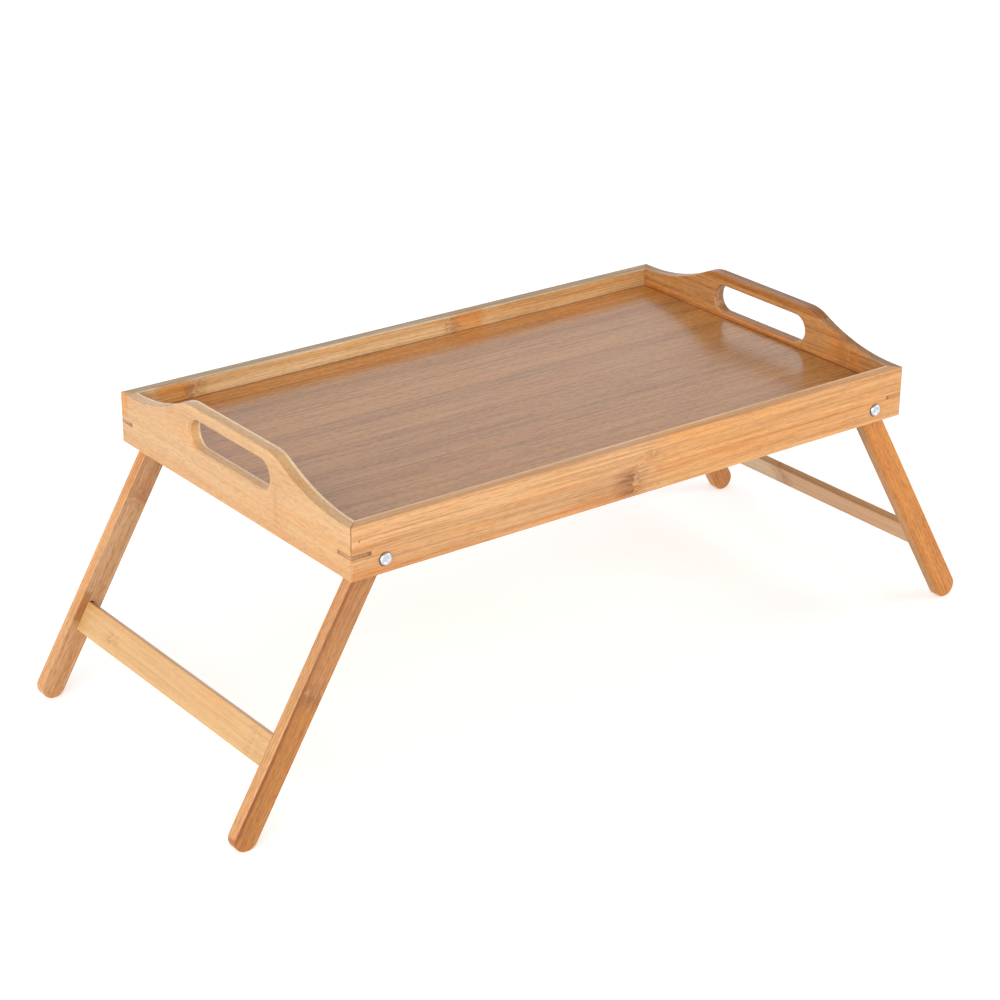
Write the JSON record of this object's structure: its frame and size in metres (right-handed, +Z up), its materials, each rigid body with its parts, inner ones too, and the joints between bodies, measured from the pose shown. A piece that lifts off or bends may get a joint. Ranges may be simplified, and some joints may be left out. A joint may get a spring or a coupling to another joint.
{
  "type": "bed tray table",
  "caption": "Bamboo bed tray with mitred walls, swept end panels with hand slots, and splayed leg frames that fold flat inside the walls.",
  "frame": {"origin": "on the surface that the toes stand on, under the middle of the tray, legs open", "axes": "+X along the tray's length, +Y from the front rail to the back rail, +Z up"},
  "size_m": [0.6774, 0.3038, 0.2401],
  "materials": {
    "bamboo_wall": "satin lacquered laminated bamboo",
    "bamboo_leg": "satin lacquered bamboo",
    "varnished_floor": "gloss varnished bamboo board",
    "corner_key": "dark carbonised bamboo, sanded flush",
    "brad_steel": "plain wire",
    "pivot_metal": "bright nickel plate"
  },
  "bodies": {
    "tray": {"front_rail": "bamboo_wall", "back_rail": "bamboo_wall", "left_end_panel": "bamboo_wall", "right_end_panel": "bamboo_wall", "floor_panel": "varnished_floor", "corner_key_front_left": "corner_key", "corner_key_front_right": "corner_key", "corner_key_back_right": "corner_key", "corner_key_back_left": "corner_key", "corner_brad_front_left": "brad_steel", "corner_brad_front_right": "brad_steel", "corner_brad_back_right": "brad_steel", "corner_brad_back_left": "brad_steel", "left_front_pivot_screw": "pivot_metal", "left_front_pivot_nut": "pivot_metal", "left_front_pivot_washer": "pivot_metal", "left_back_pivot_screw": "pivot_metal", "left_back_pivot_nut": "pivot_metal", "left_back_pivot_washer": "pivot_metal", "right_front_pivot_screw": "pivot_metal", "right_front_pivot_nut": "pivot_metal", "right_front_pivot_washer": "pivot_metal", "right_back_pivot_screw": "pivot_metal", "right_back_pivot_nut": "pivot_metal", "right_back_pivot_washer": "pivot_metal"},
    "left_leg_frame": {"left_front_leg": "bamboo_leg", "left_back_leg": "bamboo_leg", "left_crossbar": "bamboo_leg"},
    "right_leg_frame": {"right_front_leg": "bamboo_leg", "right_back_leg": "bamboo_leg", "right_crossbar": "bamboo_leg"}
  },
  "joints": [
    {"name": "left_leg_fold", "type": "hinge", "parent": "tray", "child": "left_leg_frame", "pos_m": [-0.223, 0, 0.19009], "axis": [0, -1, 0], "range_deg": [0, 120.46]},
    {"name": "right_leg_fold", "type": "hinge", "parent": "tray", "child": "right_leg_frame", "pos_m": [0.223, 0, 0.19009], "axis": [0, 1, 0], "range_deg": [0, 120.46]}
  ]
}
